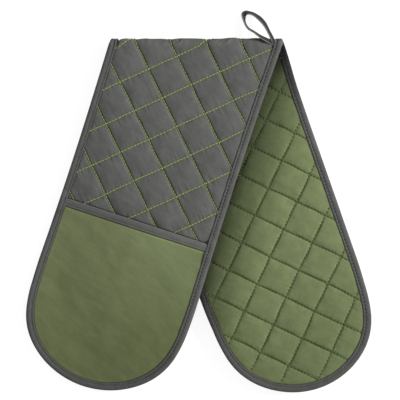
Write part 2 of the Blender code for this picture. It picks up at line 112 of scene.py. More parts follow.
# Bindings, pockets and the way the glove lies
BINDING = 0.009
NOSE = 0.0012
MOUTH = 0.216
MOUTH_BINDING = 0.009
MOUTH_ROUND = 0.0016
TAPE_SEAM = 0.0060
MOUTH_SEAM = 0.0066
SEAM_RUN = 0.008
MOUTH_SETTLE = 0.016
HAND_ROOM = 0.0070
POCKET_RISE = 0.020
POCKET_CREST = 0.35
SLACK = {"front": 0.0050, "rear": HAND_ROOM}
FLAT_SHARE = {"front": 0.0, "rear": 0.8}
LIFT_START = 0.105
LIFT_RUN = 0.100
DRAPE_MARGIN = 0.007
DRAPE_RUN = 0.150

# Where a pocket covers the quilt: soft steps, by their start from its mouth and their run
RIM_COVERED = (-0.022, 0.018)
SQUARES_COVERED = (0.004, 0.020)

SEEDS = {
    "squares": 5, "swell": 7, "pulls": 11, "tape": 21, "wide tape": 23, "mouth": 31,
    "pocket": 51, "lines": 61,
}

BEND = CROWN + GAP / 2
BEND_OUTER = BEND + CROWN
HALF_BEND = BEND * math.pi / 2
SEAT = GROOVE + GAP
TAPE_WRAP = TAPE + GAP
STACK = LINING_CLOTH + GAP + PANEL_CLOTH
POCKET_DEPTH = HAND_ROOM + STACK
PAD_INSET = NOSE + GAP
RING_INSET = BINDING + GAP
CROWN_INSET = RING_INSET + GAP
SEAM_ALONG = MOUTH + MOUTH_BINDING + MOUTH_ROUND
WAY = {"rear": 1, "front": -1}

# Painted shade on the rear arm's green cloth beside the front arm. A pair is a soft step's start
# and its run, back from the fold or beside the front arm's edge
SHADE_WIDTH = 0.034
SHADE_NEAR = 0.80
SHADE_CORNER = 0.90
SHADE_INSIDE = 0.42
NEAR_BESIDE = (0.030, SHADE_WIDTH)
CORNER_BACK = (0.020, 0.026)
CORNER_BESIDE = (0.003, 0.012)
INSIDE_BACK = (0.028, 0.050)
BAND_BESIDE = (-0.023, 0.025)

# Where the fold stands in the frame
APEX = Vector((-0.00203, 0.18277, 0.0))
BEND_Y = APEX.y - BEND_OUTER
BEND_Z = BEND_OUTER


def smooth(share):
    share = np.clip(share, 0.0, 1.0)
    return share * share * (3 - 2 * share)


def ramp(value, start, run):
    """Rises softly from none at a start to one after a run."""
    return smooth((value - start) / run)


def depth_of(arm, across, along):
    return along * math.cos(SLANT) - WAY[arm] * across * math.sin(SLANT)


def along_at(arm, across, depth):
    return (depth + WAY[arm] * across * math.sin(SLANT)) / math.cos(SLANT)


def rear_lift(along):
    return POCKET_DEPTH * ramp(along, LIFT_START, LIFT_RUN)


def spread(arm, along, far):
    """Width of the cloth at rest, as a share of its flat width."""
    settled = 1 - (1 - WIDTH_SHARE[arm]) * smooth(far / SETTLE_RUN[arm])
    waist = WAIST_DRAW[arm] * np.sin(math.pi * np.minimum(far / REACH[arm], 1.0))
    share = np.clip((along - REACH[arm] + END_START) / END_RUN, 0.0, 1.0)
    end = END_DRAW[arm] * np.sin(2 * math.pi * share) * smooth(2 * share)
    return settled - (waist + end) / HALF_WIDTH


def lay(arm, across, along, height):
    """Points of the flat cloth, laid where it rests: an array of x, y, z."""
    across, along, height = np.broadcast_arrays(
        *(np.asarray(v, float) for v in (across, along, height))
    )
    way = WAY[arm]
    depth = depth_of(arm, across, along)
    far = np.maximum(depth - HALF_BEND, 0.0)
    swept = SWEEP[arm] * (far / (REACH[arm] + HALF_WIDTH)) ** 2
    laid = across * spread(arm, along, far) + swept
    x = way * along * math.sin(SLANT) + laid * math.cos(SLANT)
    back = depth_of(arm, laid, along)
    radius = BEND + height
    angle = np.minimum(depth, HALF_BEND) / BEND
    y_bend = radius * np.cos(angle) - BEND_OUTER
    z_bend = BEND_Z - way * radius * np.sin(angle)
    if arm == "rear":
        lift = rear_lift(along)
    else:
        rear_along = x * math.sin(SLANT) + back * math.cos(SLANT)
        rear_across = x * math.cos(SLANT) - back * math.sin(SLANT)
        foot = -(HALF_WIDTH + DRAPE_MARGIN + DRAPE_RUN)
        held = ramp(rear_across, foot, DRAPE_RUN)
        lift = held * (rear_lift(rear_along) + 2 * BEND) - 2 * BEND
    y_flat = -BEND_OUTER - (back - HALF_BEND)
    z_flat = BEND_Z - way * radius + lift
    flat = depth >= HALF_BEND
    y = np.where(flat, y_flat, y_bend)
    z = np.where(flat, z_flat, z_bend)
    return np.stack([x + APEX.x, y + APEX.y, z], axis=-1)


def inset_of(arm, across, along):
    return HALF_WIDTH - np.hypot(across, np.maximum(along - REACH[arm], 0.0))


def noise_at(across, along, size, seed):
    """Soft value noise over the cloth, from -1 to 1, with a fixed table."""
    cells = 64
    table = np.random.default_rng(seed).uniform(-1, 1, (cells, cells))
    u = np.asarray(across) / size + 17.3
    v = np.asarray(along) / size + 9.1
    i = np.floor(u).astype(int)
    j = np.floor(v).astype(int)
    s = u - i
    t = v - j
    s = s * s * (3 - 2 * s)
    t = t * t * (3 - 2 * t)

    def at(a, b):
        return table[a % cells, b % cells]

    low = at(i, j) * (1 - s) + at(i + 1, j) * s
    high = at(i, j + 1) * (1 - s) + at(i + 1, j + 1) * s
    return low * (1 - t) + high * t


def line_axes(arm):
    turns = [math.radians(a) for a in LINE_DEGREES[arm]]
    return [(WAY[arm] * math.cos(a), math.sin(a)) for a in turns]


def pitches(arm):
    return [PITCH * share for share in PITCH_SHARES[arm]]


def crossing(arm, first, second):
    """Across and along where two sewn lines cross, by how far out each of the two is."""
    (u1, v1), (u2, v2) = line_axes(arm)
    span = u1 * v2 - u2 * v1
    return (second * u1 - first * u2) / span, (first * v2 - second * v1) / span


def wander(arm, k, across, along):
    """How far a sewn line strays from its straight run, in pitches."""
    seed = SEEDS["lines"] + k + 2 * WAY[arm]
    return WANDER * noise_at(across + 0.3 * k, along, WANDER_RUN, seed)


def line_counts(arm, across, along):
    across = np.asarray(across, float)
    along = np.asarray(along, float)
    return [
        (u * along + v * across) / pitch - phase + wander(arm, k, across, along)
        for k, ((u, v), pitch, phase) in enumerate(zip(line_axes(arm), pitches(arm), PHASES[arm]))
    ]


def pulls(arm, across, along):
    """Short pulls in the cloth that run off each stitched line, square to it."""
    total = np.zeros(np.shape(across))
    axes = line_axes(arm)
    counts = line_counts(arm, across, along)
    for k in (0, 1):
        offset = np.abs(counts[k] - np.round(counts[k])) * PITCH
        u, v = axes[1 - k]
        run = u * along + v * across
        crease = noise_at(run, counts[k] * PITCH * 0.3, PULL_SIZE, SEEDS["pulls"] + k)
        total += crease * np.exp(-offset / PULL_FADE) * smooth(offset / PULL_START)
    return total


def at_fold(depth):
    """One at the fold's middle, and none a little away from it."""
    return np.exp(-((depth / FOLD_WIDTH) ** 2))


def fold_crown(depth):
    """The outside of the fold is stretched, so its squares stand fuller there."""
    return 1 + FOLD_CROWN * at_fold(depth)


def rim_share(arm, side, across, along):
    """The cloth swells straight out of the edge tape, and slowly under a pocket."""
    inset = inset_of(arm, across, along)
    swollen = np.clip((inset - RING_INSET) / RIM_RUN, 0, 1) ** RIM_POWER
    if side < 0:
        return swollen
    covered = ramp(along - MOUTH, *RIM_COVERED)
    eased = ramp(inset, CROWN_INSET, RIM_RISE)
    return swollen + (np.minimum(eased, swollen) - swollen) * covered


def quilt_height(arm, side, across, along, clear):
    """Height of a quilted face over its grooves."""
    counts = line_counts(arm, across, along)
    floor = GROOVE_FLOORS[side]
    waves = [np.maximum(np.abs(np.sin(math.pi * c)) - floor, 0) / (1 - floor) for c in counts]
    pillow = (waves[0] * waves[1]) ** PILLOW_POWERS[side]
    rim = rim_share(arm, side, across, along)
    if side > 0:
        stretched = at_fold(depth_of(arm, across, along))
        pillow = pillow + (1 - pillow) * FOLD_FILL * stretched
        inset = inset_of(arm, across, along)
        rim = rim + (1 - rim) * FOLD_RIM * stretched * ramp(inset, RING_INSET, FOLD_RIM_RUN)
    covered = ramp(along - MOUTH, *SQUARES_COVERED)
    square = [np.floor(c) * SQUARE_SIZE for c in counts]
    swell = 1 + SQUARE_SWELL * noise_at(*square, SQUARE_SIZE, SEEDS["squares"])
    swell = swell + SLOW_SWELL * noise_at(across, along, SWELL_RUN, SEEDS["swell"])
    crown = PUFF * CROWN_SHARE * pillow * swell
    pressed = 1 - PRESSED_BY_POCKET * covered * (side > 0)
    return (crown + PULL * pulls(arm, across, along) * pillow) * rim * clear * pressed


def face_height(arm, side, across, along):
    """Height of the outer face of a quilted half: side is 1 on the grey face, -1 on the green."""
    depth = depth_of(arm, across, along)
    clear = ramp(depth, HALF_BEND, FOLD_FADE)
    if side > 0 and arm == "front":
        clear = fold_crown(depth)
    height = quilt_height(arm, side, across, along, clear)
    if side > 0 and arm == "rear":
        beyond = along_at("front", across, -depth)
        fade = (1 - smooth(depth / HALF_BEND)) * (depth < HALF_BEND) * fold_crown(depth)
        height = height + quilt_height("front", side, across, beyond, fade)
        resting = ramp(depth, HALF_BEND, FOLD_FADE)
        height = height + (np.minimum(height, RESTING_SHARE * PUFF) - height) * resting
    return side * (GROOVE + height)


def mouth_share(along):
    """One along a pocket's mouth, where its tape is wrapped round it, and none past that."""
    return 1 - ramp(along, SEAM_ALONG, MOUTH_SETTLE)


def lining_inner(arm, across, along):
    """Height of a pocket lining's inner face: low at the edge tape, highest at the middle."""
    wrapped = TAPE_WRAP * mouth_share(along)
    rim = SEAT + wrapped
    inside = CROWN + SLACK[arm] - wrapped
    inset = inset_of(arm, across, along) - RING_INSET
    left = 1 - np.clip(inset / (HALF_WIDTH - RING_INSET), 0, 1)
    tent = np.hypot(left, POCKET_CREST) - POCKET_CREST
    tent = 1 - tent / (math.hypot(1, POCKET_CREST) - POCKET_CREST)
    flat = FLAT_SHARE[arm]
    rise = flat * smooth(inset / POCKET_RISE) + (1 - flat) * tent
    return rim + (inside - rim) * rise


def grey_seat(along):
    """Height at which the edge tape lies on the grey face, higher over a pocket's edge."""
    started = ramp(along - MOUTH, -SEAM_RUN, SEAM_RUN)
    return SEAT + started * (STACK + GAP + 2 * TAPE_WRAP * mouth_share(along))


def placed(name, data):
    """A new object in the scene."""
    made = bpy.data.objects.new(name, data)
    bpy.context.scene.collection.objects.link(made)
    return made


def piece_of(name, points, faces, maps, sharp=50):
    """A mesh object with smooth faces that point outwards, and the maps over its cloth."""
    mesh = bpy.data.meshes.new(name)
    mesh.from_pydata(np.asarray(points).tolist(), [], faces)
    shaped = bmesh.new()
    shaped.from_mesh(mesh)
    bmesh.ops.recalc_face_normals(shaped, faces=shaped.faces)
    shaped.to_mesh(mesh)
    shaped.free()
    corner = np.empty(len(mesh.loops), np.int32)
    mesh.loops.foreach_get("vertex_index", corner)
    for label, places in maps.items():
        layer = mesh.uv_layers.new(name=label)
        layer.data.foreach_set("uv", np.asarray(places, np.float32)[corner].ravel())
    mesh.shade_smooth()
    mesh.set_sharp_from_angle(angle=math.radians(sharp))
    return placed(name, mesh)


def outline(arm, radius, starts, step):
    """Flat points up the left edge, round the end and down the right edge."""
    left, right = (np.arange(start, REACH[arm], step) for start in starts)
    angles = np.linspace(0, math.pi, int(math.pi * radius / step) + 1)
    points = [(-radius, s) for s in left]
    points += [(-radius * math.cos(a), REACH[arm] + radius * math.sin(a)) for a in angles]
    points += [(radius, s) for s in right[::-1]]
    return points


def round_edge(arm, inset, depth, step):
    """The outline of a whole half at an inset, from a depth."""
    radius = HALF_WIDTH - inset
    starts = [along_at(arm, edge * radius, depth) for edge in (-1, 1)]
    return outline(arm, radius, starts, step)


def filled(border, free):
    """Triangles over a flat outline and the free points inside it, and the points they use."""
    flat = [Vector(p) for p in border + free]
    count = len(border)
    rim = [(i, (i + 1) % count) for i in range(count)]
    out = delaunay_2d_cdt(flat, rim, [], 1, 1e-7)
    return np.array([tuple(p) for p in out[0]]), [tuple(f) for f in out[2]]


def painted_shade_beside_front(arm, side, across, along):
    """Share of painted shade on the rear arm's green face, in a band beside the front arm and in
    the corner by the fold.
    """
    if arm == "front" or side > 0:
        return np.zeros(np.shape(across))
    spot = lay(arm, across, along, 0.0)
    x = spot[..., 0] - APEX.x
    back = BEND_Y - spot[..., 1] + HALF_BEND
    beside = x * math.cos(SLANT) + back * math.sin(SLANT) - HALF_WIDTH
    # Painted shade, strongest at the front arm's edge and fading away from it
    near = np.exp(-np.maximum(beside, 0) / SHADE_WIDTH)
    near = near * (1 - ramp(beside, *NEAR_BESIDE))
    corner = (1 - ramp(back, *CORNER_BACK)) * (1 - ramp(beside, *CORNER_BESIDE))
    inside = 1 - ramp(back, *INSIDE_BACK)
    unshaded = (1 - SHADE_NEAR * near) * (1 - SHADE_CORNER * corner) * (1 - SHADE_INSIDE * inside)
    return (1 - unshaded) * ramp(beside, *BAND_BESIDE)


def closed_sheet(name, arm, border, free, outer, inner, side):
    """A closed piece of cloth between two faces over the same flat outline."""
    flat, top = filled(border, free)
    across, along = flat[:, 0], flat[:, 1]
    points = np.concatenate([lay(arm, across, along, f(across, along)) for f in (outer, inner)])
    count = len(flat)
    edges = {}
    for face in top:
        for a, b in zip(face, face[1:] + face[:1]):
            edges[(a, b)] = edges.get((a, b), 0) + 1
    wall = [(a, b) for a, b in edges if (b, a) not in edges]
    faces = top + [tuple(count + i for i in reversed(face)) for face in top]
    faces += [(b, a, count + a, count + b) for a, b in wall]
    lines = np.stack(line_counts(arm, across, along), axis=-1)
    # The rim map: the inset, and the share of painted shade beside the front arm
    rim = np.stack([inset_of(arm, across, along), painted_shade_beside_front(arm, side, across, along)], axis=-1)
    maps = {"cloth": flat, "lattice": lines, "rim": rim}
    maps = {label: np.concatenate([places, places]) for label, places in maps.items()}
    return piece_of(name, points, faces, maps)


def lattice_points(arm, cuts, inset, depth):
    """Free points on the lattice's lines and between them, closest near the lines."""
    most = math.ceil((REACH[arm] + 2 * HALF_WIDTH) / PITCH)
    places = np.concatenate([np.array(cuts) + cell for cell in range(-most, most + 1)])
    i, j = np.meshgrid(places, places)
    first = (i + PHASES[arm][0]) * pitches(arm)[0]
    second = (j + PHASES[arm][1]) * pitches(arm)[1]
    across, along = crossing(arm, first, second)
    keep = (inset_of(arm, across, along) > inset) & (along > -HALF_WIDTH)
    keep &= depth_of(arm, across, along) > depth
    away = np.min([np.abs(inset_of(arm, across, along) - ring) for ring in RIM_RINGS], axis=0)
    keep &= away > RING_MARGIN
    return list(zip(across[keep].tolist(), along[keep].tolist()))


def quilted_half(name, arm, side, cuts):
    """One half of the quilt's thickness: its face, and a flat back at the cloth's middle."""
    step = PITCH / len(cuts)
    border = round_edge(arm, PAD_INSET, 0.0, step)
    width = HALF_WIDTH - PAD_INSET
    count = int(2 * width / step)
    border += [(c, along_at(arm, c, 0.0)) for c in np.linspace(width, -width, count + 1)[1:-1]]
    free = lattice_points(arm, cuts, PAD_INSET + 0.5 * step, 0.5 * step)
    for ring in RIM_RINGS:
        free += round_edge(arm, ring, 0.4 * step, RING_SPACE)

    def outer(across, along):
        return face_height(arm, side, across, along)

    def inner(across, along):
        return np.full(np.shape(across), side * MIDDLE_GAP)

    return closed_sheet(name, arm, border, free, outer, inner, side)


def tube(rows):
    """Points and faces of a closed skin through rows of points."""
    count = len(rows[0])
    points = np.concatenate(rows)
    faces = []
    for r in range(len(rows) - 1):
        a = r * count
        for k in range(count):
            n = (k + 1) % count
            faces.append((a + k, a + n, a + count + n, a + count + k))
    faces.append(tuple(range(count)))
    faces.append(tuple(range(len(points) - count, len(points))))
    return points, faces


def ridge(way, middle, width):
    """A soft ridge of height one about a middle value."""
    return math.exp(-((way - middle) / width) ** 2)


def rounded(depth, middle, outer, steps, start=0.0, end=math.pi / 2):
    """The turn of a folded tape's nose, between its middle height and its outer one."""
    turn = np.linspace(start, end, steps)
    return [(depth * (1 - math.cos(t)), middle + (outer - middle) * math.sin(t)) for t in turn]


EDGE_SPOTS = (
    0.0028, 0.0038, 0.0046, 0.0052, 0.0056, 0.0060, 0.0064, 0.0068, 0.0074, 0.0081, 0.0087,
)
EDGE_NOSE = 0.0018
EDGE_CROWN = 0.00030
EDGE_GROOVE = 0.00032
EDGE_LIP = 0.0076
LIP_RISE = 0.00022

# Waves along an edge tape: the length and the height of each kind, and where they begin
WAVE = (0.0030, 0.00011)
WIDE_WAVE = (0.0085, 0.00014)
WAVE_START = (0.0012, 0.001)

# Steps along an edge tape, and its first places away from the fold, where they are closer
TAPE_STEP = 0.0016
FOLD_PLACES = (*np.arange(0, 0.0098, 0.0007), 0.0105)
TAPE_START = 0.0125


def flap_profile(side, seat, under):
    """Section of half a folded tape, from the strip's edge in to the seam: inset and height."""
    outer = seat + TAPE
    middle = side * (seat - under) / 2
    section = rounded(EDGE_NOSE, middle, outer, 6)
    for inset in EDGE_SPOTS:
        crown = EDGE_CROWN * math.sin(math.pi * min(inset / TAPE_SEAM, 1))
        groove = -EDGE_GROOVE * ridge(inset, TAPE_SEAM, 0.00050)
        lip = LIP_RISE * ridge(inset, EDGE_LIP, 0.00070)
        section.append((inset, outer + crown + groove + lip))
    section += [(BINDING, outer - 0.00015), (BINDING, seat)]
    return section + [(0.0060, seat), (0.0030, seat), (NOSE, seat), (NOSE, middle)]


def tape_swell(side, depth):
    """The edge tape stands off the strip where it goes round the outside of the fold."""
    return FOLD_TAPE * at_fold(depth) * (side > 0)


def tape_places(arm):
    """Places along the edge tape: for each, across and along at an inset, and the run so far."""
    reach = REACH[arm]
    last = reach * math.cos(SLANT)
    shares = np.concatenate([FOLD_PLACES, np.arange(TAPE_START, last, TAPE_STEP)]) / last
    half_turn = math.pi * HALF_WIDTH

    def straight(edge, share):
        def along(inset):
            start = along_at(arm, edge * (HALF_WIDTH - inset), 0.0)
            return start + (reach - start) * share

        return lambda inset: edge * (HALF_WIDTH - inset), along

    def turned(angle):
        return (
            lambda inset: -(HALF_WIDTH - inset) * math.cos(angle),
            lambda inset: reach + (HALF_WIDTH - inset) * math.sin(angle),
        )

    places = [(*straight(-1, share), share * reach) for share in shares]
    for angle in np.linspace(0, math.pi, int(half_turn / TAPE_STEP) + 1):
        places.append((*turned(angle), reach + angle * HALF_WIDTH))
    run = reach + half_turn
    places += [(*straight(1, share), run + (1 - share) * reach) for share in shares[::-1]]
    return places


def binding_flap(name, arm, side):
    """The edge binding's tape on one face of the glove, from the fold round to the fold."""
    rows = []
    maps = []
    shades = []
    for across_of, along_of, run in tape_places(arm):
        middle_along = along_of(BINDING / 2)
        seat = grey_seat(middle_along) if side > 0 else SEAT
        under = SEAT if side > 0 else grey_seat(middle_along)
        section = flap_profile(side, float(seat), float(under))
        inset, height = np.array(section).T
        across, along = across_of(inset), along_of(inset)
        wave = noise_at(run - 0.8 * inset, inset * 0.4, WAVE[0], SEEDS["tape"]) * WAVE[1]
        wave += noise_at(run, inset, WIDE_WAVE[0], SEEDS["wide tape"]) * WIDE_WAVE[1]
        top = ramp(inset, *WAVE_START) * (height > seat + 0.5 * TAPE)
        swell = tape_swell(side, depth_of(arm, across, along))
        swell = swell * np.clip((height - seat) / TAPE, 0, 1)
        rows.append(lay(arm, across, along, side * (height + wave * top + swell)))
        maps.append(np.stack([np.full(len(inset), run), inset], axis=-1))
        # Painted shade beside the front arm, on the rear arm's green tape
        dark = painted_shade_beside_front(arm, side, across, along)
        shades.append(np.stack([inset, dark], axis=-1))
    points, faces = tube(rows)
    places = {"cloth": np.concatenate(maps), "rim": np.concatenate(shades)}
    return piece_of(name, points, faces, places, 60)


MOUTH_SPOTS = (
    0.0088, 0.0080, 0.0073, 0.0069, 0.0066, 0.0063, 0.0058, 0.0050, 0.0040, 0.0028,
)
MOUTH_CROWN = 0.00022
MOUTH_GROOVE = 0.00022


def mouth_tape(name, arm):
    """The tape folded over a pocket's mouth edge."""
    width = HALF_WIDTH - PAD_INSET
    rows = []
    maps = []
    for across in np.linspace(-width, width, 120):
        low = float(lining_inner(arm, across, MOUTH)) - GAP
        high = low + STACK + 2 * GAP
        middle = (low + high) / 2
        outer = high + TAPE
        under = low - TAPE
        section = [(MOUTH_BINDING, high), (MOUTH_BINDING, outer - 0.0001)]
        for run in MOUTH_SPOTS:
            crown = MOUTH_CROWN * math.sin(math.pi * min(run / MOUTH_SEAM, 1))
            groove = -MOUTH_GROOVE * ridge(run, MOUTH_SEAM, 0.0004)
            wave = float(noise_at(across - 0.7 * run, run * 0.5, 0.0032, SEEDS["mouth"]))
            section.append((run, outer + crown + groove + 0.0001 * wave))
        section += rounded(MOUTH_ROUND, middle, outer, 5, math.pi / 2, 0)
        section += rounded(MOUTH_ROUND, middle, under, 5)[1:]
        section += [(MOUTH_SPOTS[0], under), (MOUTH_BINDING, low), (NOSE, low), (NOSE, high)]
        runs, heights = np.array(section).T
        rows.append(lay(arm, np.full(len(runs), across), MOUTH + runs, heights))
        maps.append(np.stack([np.full(len(runs), across), runs], axis=-1))
    points, faces = tube(rows)
    places = np.concatenate(maps)
    plain = np.stack([places[:, 1], 0 * places[:, 1]], axis=-1)
    return piece_of(name, points, faces, {"cloth": places, "rim": plain}, 60)


# Slack cloth of a pocket: soft folds away from its seams, and small tucks along its tape
POCKET_DRAPE = 0.0006
POCKET_TUCK = 0.00030
DRAPE_SIZES = (0.021, 0.012)
TUCK_SIZE = 0.0040
HELD_BY_RIM = 0.018
HELD_BY_MOUTH = 0.020
SHEET_STEP = 0.0028


def pocket_sheet(name, arm, inner_face, cloth, seed):
    """A pocket's panel or lining: soft cloth, held at its rim and its mouth."""
    step = SHEET_STEP
    radius = HALF_WIDTH - PAD_INSET
    mouth = MOUTH + PAD_INSET
    end = REACH[arm] + HALF_WIDTH
    border = [(-radius, mouth)] + outline(arm, radius, (SEAM_ALONG, SEAM_ALONG), step)
    border += [(c, mouth) for c in np.linspace(radius, -radius, 64)[:-1]]
    across, along = np.meshgrid(
        np.arange(-HALF_WIDTH, HALF_WIDTH, step), np.arange(MOUTH, end, step)
    )
    keep = inset_of(arm, across, along) > PAD_INSET + 0.6 * step
    keep &= along > mouth + 0.6 * step
    free = list(zip(across[keep].tolist(), along[keep].tolist()))

    def ripple(across, along):
        inset = inset_of(arm, across, along)
        held = ramp(inset, RING_INSET, HELD_BY_RIM) * ramp(along, SEAM_ALONG, HELD_BY_MOUTH)
        turned = 0.72 * across + 0.69 * along
        square = 0.69 * across - 0.72 * along
        slow = noise_at(turned * 0.55, square, DRAPE_SIZES[0], seed)
        slow = slow + 0.6 * noise_at(turned, square * 0.8, DRAPE_SIZES[1], seed + 1)
        drape = POCKET_DRAPE * slow * held
        if arm == "rear":
            drape = -np.abs(drape)
        theta = np.arctan2(across, along - REACH[arm] + 1e-9)
        rim_run = np.where(along > REACH[arm], theta * HALF_WIDTH, along)
        tuck = noise_at(rim_run, inset * 0.25, TUCK_SIZE, seed + 2)
        near = np.exp(-((inset - RING_INSET - 0.003) / 0.005) ** 2)
        near = near * ramp(inset, RING_INSET, 0.002)
        return drape + POCKET_TUCK * tuck * near

    def outer(across, along):
        return inner_face(arm, across, along) + cloth + ripple(across, along)

    def inner(across, along):
        return inner_face(arm, across, along) + ripple(across, along)

    return closed_sheet(name, arm, border, free, outer, inner, 1)


# The hanging loop, along its tape: across and away from the fold, height, lean from upright in
# degrees, and width in millimetres
LOOP_THICK = 0.0013
LOOP_STEPS = 6
LOOP_ROUTE = (
    (0.0918, -0.0110, 0.0132, -90, 4.4), (0.0893, -0.0066, 0.0148, -82, 4.6),
    (0.0868, -0.0012, 0.0158, -62, 5.0), (0.0843, 0.0040, 0.0150, -44, 5.8),
    (0.0815, 0.0095, 0.0126, -36, 6.8), (0.0790, 0.0145, 0.0104, -38, 7.4),
    (0.0762, 0.0190, 0.0088, -44, 7.6), (0.0720, 0.0237, 0.0072, -46, 7.6),
    (0.0688, 0.0264, 0.0060, -40, 7.4), (0.0644, 0.0292, 0.0051, -34, 7.0),
    (0.0601, 0.0305, 0.0047, -36, 6.6), (0.0563, 0.0306, 0.0046, -58, 6.4),
    (0.0541, 0.0290, 0.0046, -96, 6.4), (0.0536, 0.0257, 0.0047, -136, 6.4),
    (0.0542, 0.0213, 0.0053, -158, 6.6), (0.0558, 0.0170, 0.0062, -162, 6.8),
    (0.0584, 0.0130, 0.0078, -160, 6.8), (0.0612, 0.0108, 0.0092, -160, 6.8),
    (0.0660, 0.0078, 0.0124, -158, 6.4), (0.0715, 0.0036, 0.0152, -148, 6.0),
    (0.0765, 0.0006, 0.0168, -132, 5.6), (0.0828, -0.0026, 0.0166, -112, 5.0),
    (0.0880, -0.0052, 0.0154, -98, 4.6), (0.0925, -0.0080, 0.0134, -90, 4.4),
)


def curve_through(points, steps):
    """A smooth run of points through the given ones."""
    ends = [2 * points[0] - points[1], *points, 2 * points[-1] - points[-2]]
    run = []
    for a, b, c, d in zip(ends, ends[1:], ends[2:], ends[3:]):
        for k in range(steps):
            t = k / steps
            pull = (c - a) * t + (2 * a - 5 * b + 4 * c - d) * t * t
            run.append(b + (pull + (3 * b - a - 3 * c + d) * t * t * t) / 2)
    return [*run, points[-1]]


def hanging_loop(name):
    """The folded tape of the loop, from under the edge tape round to the edge tape."""
    legs = [Vector(step[:3]) for step in LOOP_ROUTE]
    centres = curve_through(legs, LOOP_STEPS)
    last = len(centres) - 1
    spots = np.arange(last + 1)
    places = np.arange(len(LOOP_ROUTE)) * LOOP_STEPS
    tilts = np.radians(np.interp(spots, places, [step[3] for step in LOOP_ROUTE]))
    widths = np.interp(spots, places, [step[4] / 1000 for step in LOOP_ROUTE])
    lengths = [(b - a).length for a, b in zip(centres, centres[1:])]
    length = np.concatenate([[0], np.cumsum(lengths)])
    rows = []
    maps = []
    edges = []
    for k, centre in enumerate(centres):
        ahead = centres[min(k + 1, last)] - centres[max(k - 1, 0)]
        flat = Vector((ahead.y, -ahead.x, 0)).normalized()
        upright = ahead.cross(flat).normalized()
        upright *= 1 if upright.z > 0 else -1
        half = upright * math.cos(tilts[k]) + flat * math.sin(tilts[k])
        thick = ahead.cross(half).normalized()
        middle = centre + Vector((APEX.x, APEX.y, 0))
        section = loop_section(widths[k] / 2)
        rows.append(np.array([tuple(middle + half * s + thick * t) for s, t in section]))
        maps.append(np.array([(length[k], s) for s, _ in section]))
        edges.append(np.array([(abs(2 * s / widths[k]), 0.0) for s, _ in section]))
    points, faces = tube(rows)
    places = {"cloth": np.concatenate(maps), "rim": np.concatenate(edges)}
    return piece_of(name, points, faces, places, 60)


def loop_section(half):
    """Section of the folded tape: thin at its fold, with a groove where it is sewn."""
    spots = (-0.96, -0.75, -0.66, -0.56, -0.2, 0.2, 0.56, 0.66, 0.75, 0.96)
    thick = (0.62, 0.95, 0.68, 1.0, 1.0, 1.0, 1.0, 0.68, 0.95, 0.62)
    upper = [(half * s, LOOP_THICK / 2 * t) for s, t in zip(spots, thick)]
    return [(-half, 0.0), *upper, (half, 0.0), *[(s, -t) for s, t in upper[::-1]]]


def operator(operation, swapped=False):
    """A method that joins a wire and another value in a Math node."""

    def method(self, other):
        return self.maths(operation, *((other, self) if swapped else (self, other)))

    return method


class Wire:
    """A value in a material's nodes; sums and products of wires add their own nodes."""

    def __init__(self, finish, socket):
        self.finish = finish
        self.socket = socket

    def maths(self, operation, *values):
        return self.finish.node("ShaderNodeMath", {"operation": operation}, *values)

    def size(self):
        return self.maths("ABSOLUTE", self)

    def past_whole(self):
        """How far it is past the nearest whole number."""
        return self - self.maths("ROUND", self)

    def sine(self):
        return self.maths("SINE", self)

    def hump(self, middle, width):
        """A soft hump of height one about a middle value."""
        way = (self - middle) / width
        return self.maths("EXPONENT", -(way * way))

    def fall(self, width):
        return self.maths("EXPONENT", self / -width)

    def step(self, low, high):
        """Rises from none to one between two values."""
        return self.finish.node(
            "ShaderNodeMapRange", {"interpolation_type": "SMOOTHSTEP"}, self, low, high, 0.0, 1.0
        )

    __add__, __radd__ = operator("ADD"), operator("ADD", swapped=True)
    __sub__, __rsub__ = operator("SUBTRACT"), operator("SUBTRACT", swapped=True)
    __mul__, __rmul__ = operator("MULTIPLY"), operator("MULTIPLY", swapped=True)
    __truediv__ = operator("DIVIDE")

    def __neg__(self):
        return self * -1.0


# Where a mix node has its sockets for colours
MIX_LOW, MIX_HIGH, MIXED = 6, 7, 2


